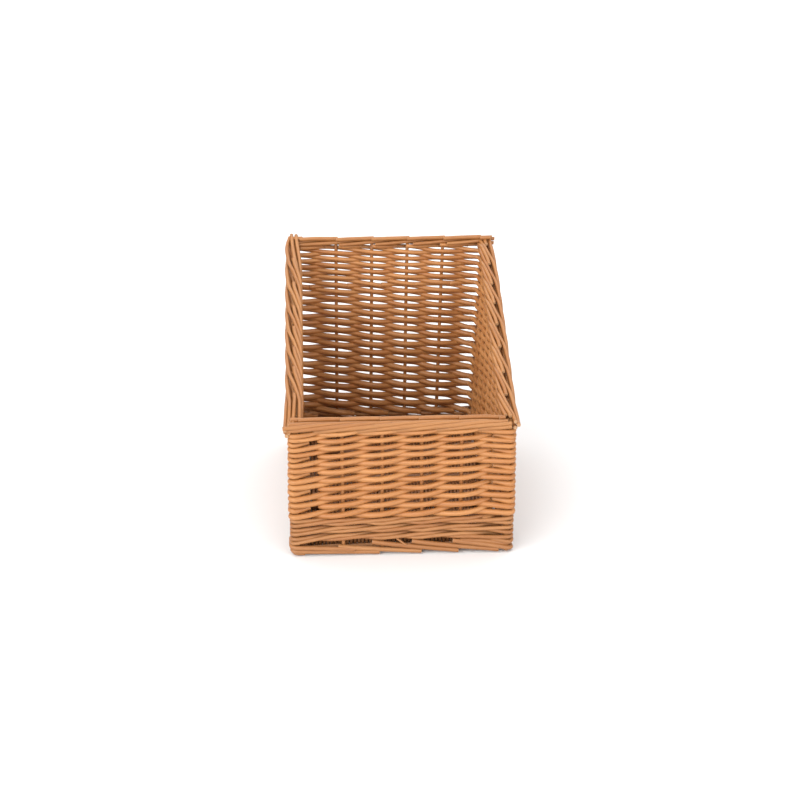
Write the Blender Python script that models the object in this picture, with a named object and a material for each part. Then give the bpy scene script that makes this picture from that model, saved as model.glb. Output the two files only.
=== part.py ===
"""Sloped willow display basket.

A rectangular basket with a low front, a high back and sloped sides. Upright stakes and corner
posts carry woven walls. Sticks and weavers make the base, a foot border stands on the ground, and
three rods side by side close the top of each wall. Metres, +Z up, front towards -Y.
"""
import math

import bmesh
import bpy
import numpy as np
from mathutils import Matrix

# Overall sizes. A span runs between the centre lines of two opposite walls.
WALL_SPAN_ACROSS = 0.266
WALL_SPAN_DEEP = 0.360
FRONT_HEIGHT = 0.185
BACK_HEIGHT = 0.313

# Air between pieces that touch on the real basket, and between rods that lie on each other
SEAT_GAP = 0.0003
ROW_GAP = 0.0006

# Uprights
POST_DIAMETER = 0.008
STAKE_DIAMETER = 0.0055
STAKE_SPACING_ACROSS = 0.0496
STAKE_FOOT_LIFT = 0.003
STAKES_ACROSS = 4
STAKES_DEEP = 7
POST_SIDES = 16
STAKE_SIDES = 12

# Rods woven to and fro in the walls, with the room that they leave at each stake
CROSSING_ROOM = 0.0008
FOOT_ROD = 0.0060
FOOT_ROWS = 2
WALE_ROD = 0.0045
WALE_ROWS = 6
WALL_ROD = 0.0050
WOVEN_SIDES = 4

# Base
STICK_DIAMETER = 0.007
STICK_SIDES = 10
BASE_ROD = 0.0054
LOOP_STEPS = 4

# Top border. The inner rod lies highest, and the drops are measured from it.
RIM_ROD = 0.0066
RIM_MIDDLE_DROP = 0.0025
RIM_OUTER_DROP = 0.0070
RIM_SIDES = 8
RIM_OVERHANG = 0.006

# A woven rod goes inside at one stake out of this many, and outside at the others.
RANDING_PERIOD = 2
WALING_PERIOD = 3

# From a turn, a rod needs this many times its offset to reach the face of a stake.
LEAD_SHARE = 2

# Finish of the bare willow: linear red, green and blue, and roughness
UPRIGHT_COLOUR = (0.56, 0.26, 0.11)
WEAVE_COLOUR = (0.64, 0.31, 0.12)
BORDER_COLOUR = (0.70, 0.36, 0.15)
BASE_COLOUR = (0.45, 0.21, 0.08)
WILLOW_ROUGHNESS = 0.45
SHARP_ANGLE = math.radians(40)

# Places worked out from the sizes above
QUARTER_TURN = math.pi / 2
POST_RADIUS = POST_DIAMETER / 2
STAKE_RADIUS = STAKE_DIAMETER / 2
STICK_RADIUS = STICK_DIAMETER / 2
RIM_RADIUS = RIM_ROD / 2
RIM_INNER_OFFSET = RIM_ROD + SEAT_GAP
RIM_OUTER_OFFSET = max(POST_RADIUS + RIM_RADIUS, RIM_ROD) + SEAT_GAP
SIDE_STAKE_SPACING = WALL_SPAN_DEEP / (STAKES_DEEP + 1)
FOOT_TOP = FOOT_ROWS * (FOOT_ROD + ROW_GAP) - ROW_GAP
STICK_HEIGHT = FOOT_TOP + SEAT_GAP + STICK_RADIUS
WALE_BOTTOM = STICK_HEIGHT + STICK_RADIUS + SEAT_GAP
WALL_BOTTOM = WALE_BOTTOM + WALE_ROWS * (WALE_ROD + ROW_GAP)


def clear_scene():
    """Remove every object that a new scene starts with."""
    for item in list(bpy.data.objects):
        bpy.data.objects.remove(item, do_unlink=True)


def willow(name, colour):
    """The finish of one sub-part."""
    material = bpy.data.materials.new(name + "_willow")
    material.use_nodes = True
    shader = material.node_tree.nodes["Principled BSDF"]
    shader.inputs["Base Color"].default_value = (*colour, 1.0)
    shader.inputs["Roughness"].default_value = WILLOW_ROUGHNESS
    shader.inputs["Metallic"].default_value = 0.0
    return material


def add_part(name, mesh, colour):
    """Put a mesh into the scene as one named sub-part."""
    mesh.materials.append(willow(name, colour))
    part = bpy.data.objects.new(name, mesh)
    bpy.context.scene.collection.objects.link(part)
    return part


def polygon(sides):
    """Corners of a regular polygon that stands on a flat side, one unit from its middle."""
    angles = (np.arange(sides) + 0.5) * 2 * math.pi / sides
    corner_distance = 1 / math.cos(math.pi / sides)
    return corner_distance * np.cos(angles), corner_distance * np.sin(angles)


def rod_mesh(name, centres, first_axes, second_axes, radius, sides):
    """A closed rod: one polygon at every centre, spread along two axes, joined and capped."""
    first, second = polygon(sides)
    rings = (centres[:, None, :]
             + radius * first[None, :, None] * first_axes[:, None, :]
             + radius * second[None, :, None] * second_axes[:, None, :])
    shape = bmesh.new()
    corners = [[shape.verts.new(point) for point in ring] for ring in rings]
    for ring, following in zip(corners, corners[1:]):
        for side in range(sides):
            after = (side + 1) % sides
            shape.faces.new((ring[side], ring[after], following[after], following[side]))
    shape.faces.new(corners[0])
    shape.faces.new(corners[-1])
    bmesh.ops.recalc_face_normals(shape, faces=shape.faces)
    mesh = bpy.data.meshes.new(name)
    shape.to_mesh(mesh)
    shape.free()
    return mesh


def straight_rod_mesh(name, start, end, across, diameter, sides):
    """A round rod between two points, with flat ends square to its length."""
    centres = np.array((start, end))
    length = centres[1] - centres[0]
    second = np.cross(length, across) / np.linalg.norm(length)
    first_axes = np.tile(across, (2, 1))
    second_axes = np.tile(second, (2, 1))
    mesh = rod_mesh(name, centres, first_axes, second_axes, diameter / 2, sides)
    mesh.shade_smooth()
    mesh.set_sharp_from_angle(angle=SHARP_ANGLE)
    return mesh


def upright_mesh(name, diameter, bottom, top, sides):
    """A round upright between two heights."""
    return straight_rod_mesh(name, (0, 0, bottom), (0, 0, top), (1.0, 0, 0), diameter, sides)


class Wall:
    """One wall seen from outside. Its run goes to the right and is zero in the middle."""

    def __init__(self, name, span, distance, turns, stakes, heights):
        self.name = name
        self.half_span = span / 2
        self.distance = distance
        self.angle = turns * QUARTER_TURN
        self.stakes = stakes
        self.left_height = heights[0]
        self.slope = (heights[1] - heights[0]) / span
        self.lean = math.hypot(1, self.slope)

    def rim_height(self, run):
        """Height of the top border at a place along the wall."""
        return self.left_height + self.slope * (run + self.half_span)

    def rim_rod_height(self, run, drop):
        """Height of the centre line of one of the border's rods."""
        return self.rim_height(run) - RIM_RADIUS - drop

    def upright_top(self, run, radius):
        """Height at which an upright ends, just under the border's middle rod."""
        under_rod = self.rim_rod_height(run, RIM_MIDDLE_DROP) - (RIM_RADIUS + SEAT_GAP) * self.lean
        return under_rod - radius * abs(self.slope)

    def weave_limit(self, run):
        """Height that the weave may reach, just under the border's outer rod."""
        return self.rim_rod_height(run, RIM_OUTER_DROP) - (RIM_RADIUS + SEAT_GAP) * self.lean

    def place(self, part):
        """Turn a piece built in this wall's frame, and move it to the wall."""
        part.rotation_euler = (0, 0, self.angle)
        part.location = (math.sin(self.angle) * self.distance,
                         -math.cos(self.angle) * self.distance, 0)


def make_walls():
    """The four walls, in turn round the basket."""
    first_across = -(STAKES_ACROSS - 1) / 2 * STAKE_SPACING_ACROSS
    across = [first_across + index * STAKE_SPACING_ACROSS for index in range(STAKES_ACROSS)]
    first_deep = -(STAKES_DEEP - 1) / 2 * SIDE_STAKE_SPACING
    deep = [first_deep + index * SIDE_STAKE_SPACING for index in range(STAKES_DEEP)]
    half_across, half_deep = WALL_SPAN_ACROSS / 2, WALL_SPAN_DEEP / 2
    low, high = FRONT_HEIGHT, BACK_HEIGHT
    return {
        "front": Wall("front", WALL_SPAN_ACROSS, half_deep, 0, across, (low, low)),
        "right": Wall("right", WALL_SPAN_DEEP, half_across, 1, deep, (low, high)),
        "back": Wall("back", WALL_SPAN_ACROSS, half_deep, 2, across, (high, high)),
        "left": Wall("left", WALL_SPAN_DEEP, half_across, 3, deep, (high, low)),
    }


def build_corner_post(wall, side, sign):
    """One thick upright at the end of the front or the back wall."""
    name = f"corner_post_{wall.name}_{side}"
    top = wall.upright_top(0, POST_RADIUS)
    post = add_part(name, upright_mesh(name, POST_DIAMETER, 0, top, POST_SIDES), UPRIGHT_COLOUR)
    post.location = (sign * WALL_SPAN_ACROSS / 2, -math.cos(wall.angle) * wall.distance, 0)


def build_stakes(wall):
    """The thinner uprights of a wall, numbered from its left end."""
    for index, run in enumerate(wall.stakes):
        name = f"{wall.name}_stake_{index + 1}"
        top = wall.upright_top(run, STAKE_RADIUS)
        mesh = upright_mesh(name, STAKE_DIAMETER, STAKE_FOOT_LIFT, top, STAKE_SIDES)
        mesh.transform(Matrix.Translation((run, 0, 0)))
        wall.place(add_part(name, mesh, UPRIGHT_COLOUR))


def crossing_offset(crossed_radius, radius):
    """How far a rod's centre line lies from the middle of what it crosses."""
    return crossed_radius + CROSSING_ROOM + radius


def clear_of_stakes(wall, run, inward, radius):
    """Move a turn inward past a stake that is too near for the rod to swing round it."""
    stub = STAKE_RADIUS + SEAT_GAP + radius
    lead = LEAD_SHARE * crossing_offset(STAKE_RADIUS, radius)
    for stake in wall.stakes:
        if -stub < (stake - run) * inward < lead:
            return stake + inward * stub
    return run


def turn_limit(wall, radius):
    """Furthest place from the middle of a wall at which a row may turn beside a corner post."""
    return wall.half_span - POST_RADIUS - SEAT_GAP - radius


def row_ends(wall, radius, row_top):
    """Places of a row's left and right turns, between the posts and under the closing row."""
    right = turn_limit(wall, radius)
    left = -right
    if wall.slope:
        closing_depth = (2 * radius + ROW_GAP) * wall.lean
        limit = (row_top + closing_depth - wall.weave_limit(0)) / wall.slope
        if wall.slope > 0:
            left = max(left, limit + radius)
        else:
            right = min(right, limit - radius)
    return clear_of_stakes(wall, left, 1, radius), clear_of_stakes(wall, right, -1, radius)


def crossings(wall, radius, row, left, right, period):
    """Run and offset of a row's two ends and of each stake between them.

    The offset is negative outside and zero at the ends.
    """
    offset = crossing_offset(STAKE_RADIUS, radius)
    line = [(left, 0)]
    for index, stake in enumerate(wall.stakes):
        if left < stake < right:
            inside = (index + row) % period == 0
            line.append((stake, offset if inside else -offset))
    line.append((right, 0))
    return line


def level_rows(wall, radius, bottom, pitch, rows, period):
    """Rows of one rod that goes to and fro up a wall, as lists of (run, offset, height).

    Even rows go right and odd rows go left. Each turn stands where the upper of its two rows
    ends, and the rows stop where the slope leaves none a stake to cross.
    """
    lines = []
    for row in range(rows):
        height = bottom + (row + 0.5) * pitch
        left, right = row_ends(wall, radius, height + radius)
        next_left, next_right = row_ends(wall, radius, height + radius + pitch)
        goes_right = row % 2 == 0
        if row < rows - 1:
            left, right = (left, next_right) if goes_right else (next_left, right)
        line = [(run, offset, height)
                for run, offset in crossings(wall, radius, row, left, right, period)]
        if len(line) < 3:
            break
        lines.append(line if goes_right else line[::-1])
    return lines


def closing_row(wall, radius, row, period):
    """The last row of a sloped wall, which comes down from the high end under the border."""
    end = turn_limit(wall, radius)
    line = [(run, offset, wall.weave_limit(run) - radius * wall.lean)
            for run, offset in crossings(wall, radius, row, -end, end, period)]
    return line[::-1] if wall.slope > 0 else line


def turn_axes(points):
    """At each point, the direction square to the rod in the wall's face, mitred at turns."""
    steps = np.diff(points[:, (0, 2)], axis=0)
    steps /= np.linalg.norm(steps, axis=1)[:, None]
    normals = np.column_stack((-steps[:, 1], steps[:, 0]))
    before = np.vstack((normals[:1], normals))
    after = np.vstack((normals, normals[-1:]))
    mitres = (before + after) / (1 + np.sum(before * after, axis=1))[:, None]
    return np.column_stack((mitres[:, 0], np.zeros(len(points)), mitres[:, 1]))


def add_woven(wall, kind, lines, rod, colour):
    """One unbroken rod through the points of all its rows."""
    points = np.array([point for line in lines for point in line])
    across = np.tile((0.0, 1.0, 0.0), (len(points), 1))
    name = f"{wall.name}_{kind}"
    mesh = rod_mesh(name, points, across, turn_axes(points), rod / 2, WOVEN_SIDES)
    wall.place(add_part(name, mesh, colour))


def build_foot(wall):
    """The border that stands on the ground under a wall."""
    lines = level_rows(wall, FOOT_ROD / 2, -ROW_GAP / 2, FOOT_ROD + ROW_GAP, FOOT_ROWS,
                       WALING_PERIOD)
    add_woven(wall, "foot", lines, FOOT_ROD, BORDER_COLOUR)


def build_wale(wall):
    """The close band above the base, whose rods pass outside two stakes out of three."""
    lines = level_rows(wall, WALE_ROD / 2, WALE_BOTTOM - ROW_GAP / 2, WALE_ROD + ROW_GAP,
                       WALE_ROWS, WALING_PERIOD)
    add_woven(wall, "wale", lines, WALE_ROD, WEAVE_COLOUR)


def build_weave(wall):
    """The wall above the wale, woven outside and inside by turns up to the top border."""
    radius = WALL_ROD / 2
    rise = wall.weave_limit(math.copysign(wall.half_span, wall.slope)) - WALL_BOTTOM
    rows = int(rise / (WALL_ROD + ROW_GAP))
    lines = level_rows(wall, radius, WALL_BOTTOM, rise / rows, rows, RANDING_PERIOD)
    if wall.slope:
        ends_high = (lines[-1][-1][0] > 0) == (wall.slope > 0)
        if not ends_high:
            lines.pop()
        lines.append(closing_row(wall, radius, len(lines), RANDING_PERIOD))
    add_woven(wall, "weave", lines, WALL_ROD, WEAVE_COLOUR)


def build_rim(wall, covers_corners):
    """Three rods side by side on top of a wall. Those of the sloped walls end at the others,
    whose cut ends stick out past the corners."""
    if covers_corners:
        half_length = wall.half_span + RIM_OUTER_OFFSET + RIM_RADIUS + RIM_OVERHANG
    else:
        end_overhang = RIM_RADIUS * abs(wall.slope) / wall.lean
        inner_face = wall.half_span - RIM_INNER_OFFSET - RIM_RADIUS
        half_length = inner_face - SEAT_GAP - end_overhang
    rods = (("inner", RIM_INNER_OFFSET, 0), ("middle", 0, RIM_MIDDLE_DROP),
            ("outer", -RIM_OUTER_OFFSET, RIM_OUTER_DROP))
    for place, offset, drop in rods:
        name = f"{wall.name}_rim_{place}"
        start = (-half_length, offset, wall.rim_rod_height(-half_length, drop))
        end = (half_length, offset, wall.rim_rod_height(half_length, drop))
        mesh = straight_rod_mesh(name, start, end, (0, 1.0, 0), RIM_ROD, RIM_SIDES)
        wall.place(add_part(name, mesh, BORDER_COLOUR))


def base_inset():
    """Distance from a wall's centre line to the nearest that the base may come inside it."""
    return STAKE_RADIUS + CROSSING_ROOM + max(FOOT_ROD, WALE_ROD) + SEAT_GAP


def stick_places():
    """Base sticks lie one in each bay of the side walls, the outer ones set in for the loops."""
    loop = crossing_offset(STICK_RADIUS, BASE_ROD / 2) + BASE_ROD / 2
    furthest = WALL_SPAN_DEEP / 2 - base_inset() - loop
    places = [(index - STAKES_DEEP / 2) * SIDE_STAKE_SPACING for index in range(STAKES_DEEP + 1)]
    return [-furthest, *places[1:-1], furthest]


def build_base_sticks():
    """Sticks that run from side to side, held between the foot and the wale."""
    half_length = WALL_SPAN_ACROSS / 2 + STAKE_RADIUS
    for index, place in enumerate(stick_places()):
        name = f"base_stick_{index + 1}"
        mesh = straight_rod_mesh(name, (-half_length, 0, 0), (half_length, 0, 0), (0, 1.0, 0),
                                 STICK_DIAMETER, STICK_SIDES)
        stick = add_part(name, mesh, BASE_COLOUR)
        stick.location = (0, place, STICK_HEIGHT)


def base_row(across, row, places, offset):
    """Points of one row of the base, over one stick and under the next."""
    line = [(across, place, offset if (index + row) % 2 == 0 else -offset)
            for index, place in enumerate(places)]
    return line if row % 2 == 0 else line[::-1]


def base_loop(start, end, offset, direction):
    """Points and spokes of the half loop round an outer stick, from one row to the next."""
    middle = (np.array(start) + np.array(end)) / 2
    side = math.copysign(1, start[2])
    points, spokes = [], []
    for step in range(1, LOOP_STEPS):
        angle = side * (QUARTER_TURN - step * math.pi / LOOP_STEPS)
        spoke = np.array((0, direction * math.cos(angle), math.sin(angle)))
        shift = (end[0] - start[0]) * (step / LOOP_STEPS - 0.5)
        points.append(np.array((middle[0] + shift, start[1], 0)) + offset * spoke)
        spokes.append(side * spoke)
    return points, spokes


def base_path():
    """Centre line and first axes of the unbroken weaver that fills the base."""
    places = stick_places()
    radius = BASE_ROD / 2
    offset = crossing_offset(STICK_RADIUS, radius)
    half_width = WALL_SPAN_ACROSS / 2 - base_inset()
    rows = int(2 * half_width / (BASE_ROD + ROW_GAP))
    pitch = 2 * half_width / rows
    points, axes = [], []
    facing = 1
    for row in range(rows):
        line = base_row(-half_width + (row + 0.5) * pitch, row, places, offset)
        if points:
            loop, spokes = base_loop(points[-1], line[0], offset, -1 if row % 2 == 0 else 1)
            axes.extend(facing * spoke for spoke in spokes)
            points.extend(loop)
            facing = -facing
        points.extend(line)
        axes.extend([np.array((0, 0, facing))] * len(line))
    return np.array(points), np.array(axes)


def build_base_weave():
    """The floor: one weaver that runs to and fro over and under the base sticks."""
    points, first_axes = base_path()
    across = np.tile((1.0, 0.0, 0.0), (len(points), 1))
    mesh = rod_mesh("base_weave", points, first_axes, across, BASE_ROD / 2, WOVEN_SIDES)
    weave = add_part("base_weave", mesh, BASE_COLOUR)
    weave.location = (0, 0, STICK_HEIGHT)


def build_basket():
    """Every piece, from the ground up."""
    clear_scene()
    walls = make_walls()
    for wall in (walls["front"], walls["back"]):
        build_corner_post(wall, "left", -1)
        build_corner_post(wall, "right", 1)
    build_base_sticks()
    build_base_weave()
    for wall in walls.values():
        build_stakes(wall)
        build_foot(wall)
        build_wale(wall)
        build_weave(wall)
        build_rim(wall, wall.name in ("front", "back"))


build_basket()
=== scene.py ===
"""The finished look of a sloped willow display basket, laid out as an add-on and run as a script.

Every rod of the basket is a round tube carried along a path that the weave gives: to and fro in
the walls, three together in the band above the base, over and under the sticks in the base, and
side by side in the borders. Metres, +Z up, front towards -Y.
"""

import math

import bpy
import numpy as np
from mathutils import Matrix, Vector


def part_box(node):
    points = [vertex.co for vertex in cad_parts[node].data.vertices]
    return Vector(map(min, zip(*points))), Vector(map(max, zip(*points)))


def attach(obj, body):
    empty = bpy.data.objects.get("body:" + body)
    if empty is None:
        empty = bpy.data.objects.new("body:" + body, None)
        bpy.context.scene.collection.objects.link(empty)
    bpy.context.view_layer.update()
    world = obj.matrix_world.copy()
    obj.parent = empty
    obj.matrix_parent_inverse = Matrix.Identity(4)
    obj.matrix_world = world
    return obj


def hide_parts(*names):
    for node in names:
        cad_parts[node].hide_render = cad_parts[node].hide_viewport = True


bl_info = {
    "name": "Sloped willow display basket",
    "version": (1, 0, 0),
    "blender": (4, 5, 0),
    "location": "3D View > Sidebar > Basket",
    "description": "Weaves the rods of a sloped display basket over its plain model",
    "category": "Add Mesh",
}

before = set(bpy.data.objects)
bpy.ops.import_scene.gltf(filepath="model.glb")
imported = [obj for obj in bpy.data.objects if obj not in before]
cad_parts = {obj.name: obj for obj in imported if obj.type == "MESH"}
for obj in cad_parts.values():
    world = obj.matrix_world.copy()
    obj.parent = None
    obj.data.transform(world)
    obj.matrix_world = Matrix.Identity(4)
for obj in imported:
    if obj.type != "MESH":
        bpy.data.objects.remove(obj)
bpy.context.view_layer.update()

# The four walls in order round the basket, to the right as seen from outside
WALLS = ("front", "right", "back", "left")
ALONG = np.array([(1, 0), (0, 1), (-1, 0), (0, -1)], float)
OUTWARD = np.array([(0, -1), (1, 0), (0, 1), (-1, 0)], float)
POSTS = ("corner_post_front_left", "corner_post_front_right", "corner_post_back_right",
         "corner_post_back_left")
UP = (0.0, 0.0, 1.0)
RANDOM_SEED = 11


def wall_stakes(wall):
    """The names of a wall's stakes, from its left end as seen from outside."""
    count = sum(name.startswith(f"{wall}_stake_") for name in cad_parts)
    return [f"{wall}_stake_{number + 1}" for number in range(count)]


def upright_names():
    """Every post and stake in order round the basket, and the place of each post in that order."""
    names, corners = [], []
    for wall, post in zip(WALLS, POSTS):
        corners.append(len(names))
        names += [post, *wall_stakes(wall)]
    return names, corners


UPRIGHTS, CORNERS = upright_names()
COUNT = len(UPRIGHTS)
LOWS = np.array([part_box(name)[0] for name in UPRIGHTS])
HIGHS = np.array([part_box(name)[1] for name in UPRIGHTS])
PLACES = (LOWS[:, :2] + HIGHS[:, :2]) / 2
UPRIGHT_RADII = (HIGHS[:, 0] - LOWS[:, 0]) / 2
CORNER_PLACES = PLACES[CORNERS]
WALL_LENGTHS = np.linalg.norm(np.roll(CORNER_PLACES, -1, axis=0) - CORNER_PLACES, axis=1)
WALL_STARTS = np.concatenate(((0.0,), np.cumsum(WALL_LENGTHS)[:-1]))
PERIMETER = WALL_LENGTHS.sum()
STEPS = np.linalg.norm(np.roll(PLACES, -1, axis=0) - PLACES, axis=1)
DISTANCES = np.concatenate(((0.0,), np.cumsum(STEPS)[:-1]))
DEPTH_SHARES = (PLACES[:, 1] - PLACES[0, 1]) / WALL_LENGTHS[1]
FRONT_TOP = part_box("front_rim_inner")[1].z
BACK_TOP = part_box("back_rim_inner")[1].z
FRONT_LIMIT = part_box("front_weave")[1].z
BACK_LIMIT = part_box("back_weave")[1].z
LIMITS = FRONT_LIMIT + (BACK_LIMIT - FRONT_LIMIT) * DEPTH_SHARES
WALE_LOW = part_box("front_wale")[0].z
WALE_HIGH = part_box("front_weave")[0].z
STICK_HEIGHT = (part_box("base_stick_1")[0].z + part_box("base_stick_1")[1].z) / 2
STICK_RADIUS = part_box("base_stick_1")[1].z - STICK_HEIGHT
# Radius of the bend of a path that turns a corner inside the walls
INSIDE_BEND = 0.006
# The uprights are shown thinner by this, and what crosses them lies closer by as much.
PRESS = 0.0002
# How far outward a rod may reach on the back wall, just short of the plain one's outside, and how
# far past its posts that holds
BACK_SPARE = 0.0001
BACK_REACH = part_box("back_weave")[1].y - CORNER_PLACES[2, 1] - BACK_SPARE
BACK_MARGIN = 0.015
# How far the foot of the back stands to the left of its top: in the middle, and how that changes
# with the place across and with its square
LEANS = (0.0040, 0.0065, 0.0055)
# How far a rod wavers outward as a share of how far it does upward, and the lengths of both waves
OUTWARD_WAVER_SHARE = 0.6
OUTWARD_WAVE, UPWARD_WAVE = 0.083, 0.067
# The rods of the walls: how unlike they are in thickness, how far a crossing strays up or down,
# over how many levels they thin, how many levels may lie above the join, how much thinner each
# of those is, and how many rises above the last lower level the first of them lies
WALL_SPREAD_SHARE = 0.045
STRAY = 0.00034
THINNING_LEVELS = 21
UPPER_LEVELS = 40
UPPER_THINNING_SHARE = 0.004
JOIN_RISES = 1.25
# How much higher than even four levels in turn pass each post, in rises. At the two front posts
# three rods out of four lie outside and share the room. At the two behind they lie in pairs.
POST_SHIFTS = ((0.0, -0.33, 0.0, 0.33), (-0.7, -0.2, 0.0, -0.8), (-0.18, 0.0, 0.18, 0.0),
               (-0.3, 0.1, 0.0, -0.3))
# How much higher the rods lie inside each upright of the back, from its right post to its left
# one, where a level rises by the second value
BACK_LIFTS = (0.0002, 0.0009, 0.0005, 0.0, -0.0005, -0.0008)
LIFT_RISE = 0.0065
# A rod that turns round a front post ends close by on the front: how far along from the right
# post, its offset outward and how much higher than at the post, and the same for the left post
RIGHT_LOOP = (-0.014, -0.0030, -0.0004)
LEFT_LOOP = (0.013, -0.0030, 0.0003)
# The shares of its last bay that are cut off a rod's start and finish, and how far below its first
# crossing it comes up out of the band
START_CUT_SHARE = 0.40
FINISH_CUT_SHARE = 0.20
BAND_DEPTH = 0.0050
# How deep a rod goes into the border, give or take the second value, and how much of its offset it
# loses there outside and inside
TUCK_DEPTH = 0.0070
TUCK_SPREAD = 0.001
TUCK_OUTSIDE_SHARE = 0.95
TUCK_INSIDE_SHARE = 0.4
# The band: how far before and behind an upright, in bays, a rod passes inside it, and how high it
# goes in and comes out, and lies outside the first and the second upright, in its own slots
BAND_PASS_SHARE = 0.3
BAND_IN_SHARE, BAND_OUT_SHARE = 1.40, 0.60
BAND_FIRST_SHARE, BAND_SECOND_SHARE = 0.5, 1.5
# How far from a front corner the band hangs down, and how much more it does so on the right
DROOP_LENGTH = 0.055
RIGHT_DROOP_SHARE = 1.6
# The rods of the foot: where they start and end past their upright, and the height of their high
# end. First the outer ones, then the one of the first front stake, and then the inner ones.
FOOT_START, FOOT_END, FOOT_HIGH = -0.012, 0.094, 0.0176
FIRST_FOOT_START, FIRST_FOOT_END, FIRST_FOOT_HIGH = -0.004, 0.098, 0.0118
INNER_FOOT_START, INNER_FOOT_END, INNER_FOOT_HIGH = 0.010, 0.095, 0.0074
# How far their low ends are off the ground, how much further in than beside their upright the
# outer ones start and end, how unlike their starts are in height, and the share of their
# thickness that those lose on the way
FOOT_LIFT = 0.0008
FOOT_START_INSET, FOOT_END_INSET = 0.0015, 0.0006
FOOT_SPREAD = 0.0002
FOOT_THINNING_SHARE = 0.06
# Between which distances past the corner those that turn it come out to the others
FOOT_TURN = (0.012, 0.060)
# A thin end that hangs out of the front: distance along, offset outward and height of both its ends
THIN_END = ((0.1264, 0.0045, 0.0215), (0.1375, 0.0080, 0.0138))
THIN_END_RADIUS = 0.0013
# The rods of the foot that turn a front corner, by the place of their upright: where the corner
# is, points along the way from it, their heights, and how much further in they lie at the corner
CORNER_FEET = {
    COUNT - 2: (PERIMETER, (-0.106, -0.040, 0.000, 0.012), (FOOT_HIGH, 0.0062, 0.0036, 0.0034),
                0.0018),
    COUNT - 1: (PERIMETER, (-0.059, -0.014, 0.000, 0.030, 0.105),
                (FOOT_HIGH, 0.0080, 0.0064, 0.0056, 0.0039), 0.0),
    0: (PERIMETER, (-0.024, 0.000, 0.030, 0.055, 0.075), (0.0140, 0.0122, 0.0110, 0.0096, 0.0080),
        0.0),
    CORNERS[1] - 1: (DISTANCES[CORNERS[1]], (-0.0706, -0.030, 0.000, 0.012, 0.035),
                     (FOOT_HIGH, 0.0114, 0.0056, 0.0046, 0.0039), 0.0),
    CORNERS[1]: (DISTANCES[CORNERS[1]], (-0.060, -0.030, -0.010, 0.006, 0.094),
                 (0.0174, 0.0158, 0.0125, 0.0112, 0.0039), 0.0030),
}
# The base: how much shorter its sticks are at each end than the plain ones, how far they bend to
# and fro and how fast, in radians to the metre along and from stick to stick, and the same two
# for the weaver. Then the share by which the weaver's thickness changes, and how fast.
STICK_SPARE = 0.0004
STICK_BEND, STICK_RATE, STICK_SHIFT = 0.0003, 31, 90
WEAVER_BEND, WEAVER_RATE = 0.00035, 40
WEAVER_SPREAD_SHARE, WEAVER_SPREAD_RATE = 0.04, 0.013
# How far the ribs over the base's edges reach past the last stick and below its middle
RIB_REACH = 0.0076
RIB_DEPTH = 0.0110
# The posts and stakes: how much shorter they are at each end than the plain ones, how far they
# are bowed, and the share of their thickness that they lose upward
UPRIGHT_SPARE = 0.0010
UPRIGHT_BOW = 0.00025
UPRIGHT_THINNING_SHARE = 0.08


def metres(name, description, default):
    """A property for a length."""
    return bpy.props.FloatProperty(name=name, description=description, default=default,
                                   min=0.0, subtype="DISTANCE", unit="LENGTH", precision=5)


def share(name, description, default):
    """A property for a share from nought to one."""
    return bpy.props.FloatProperty(name=name, description=description, default=default,
                                   min=0.0, max=1.0, subtype="FACTOR")


def colour(name, description, default):
    """A property for a colour, in linear light."""
    return bpy.props.FloatVectorProperty(name=name, description=description, default=default,
                                         size=3, min=0.0, max=1.0, subtype="COLOR")


class BasketSizes(bpy.types.PropertyGroup):
    """Rod diameters and how the rods of each band rise."""

    wall_rod_low: metres("Wall rod, low", "Diameter of a wall rod at the foot of a wall", 0.0070)
    wall_rod_high: metres("Wall rod, high", "Diameter of a wall rod near the front border",
                          0.0059)
    back_extra: metres("Back extra", "How much thicker the wall rods are at the back", 0.0008)
    upper_rod: metres("Upper rod", "Diameter of the rods above the join at the back", 0.0059)
    first_level: metres("First level", "Height where the wall rods start", 0.0499)
    front_rise: metres("Front rise", "Rise from one level to the next at the front", 0.0065)
    front_easing: metres("Front easing", "How much each level at the front rises less",
                         0.0000442)
    back_rise: metres("Back rise", "Rise from one level to the next at the back", 0.0068)
    back_easing: metres("Back easing", "How much each level at the back rises less", 0.0000255)
    lower_levels: bpy.props.IntProperty(name="Lower levels", default=32, min=2,
                                        description="Levels below the join at the back")
    upper_rise: metres("Upper rise", "Rise from level to level above the join", 0.0046)
    wale_rod: metres("Band rod", "Diameter of the rods in the band above the base", 0.0051)
    band_droop: metres("Band droop", "How far the band hangs down at the front corners", 0.0055)
    foot_rod: metres("Foot rod", "Diameter of the rods that stand on the ground", 0.0062)
    level_rod: metres("Level border rod", "Diameter of the rods on top of the front and back",
                      0.0053)
    ridge_rod: metres("Ridge rod", "Diameter of the short rods that lie on those", 0.0060)
    sloped_rod: metres("Sloped border rod", "Diameter of the rods on top of the sides", 0.0050)
    base_rod: metres("Base rod", "Diameter of the weavers in the base", 0.0042)
    base_pitch: metres("Base pitch", "Distance between two weavers in the base", 0.0049)
    base_ease: metres("Base ease", "How much lower the base lies than its plain sticks", 0.0025)
    right_bulge: metres("Right bulge", "Extra rise of a front rod on its way to the right post",
                        0.0022)
    left_sag: metres("Left sag", "How far a front rod sags on its way from the left post", 0.0010)
    waver: metres("Waver", "How far a rod strays from its even path", 0.00028)
    sides: bpy.props.IntProperty(name="Sides", default=12, min=6, max=32,
                                 description="Faces round a rod")


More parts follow.
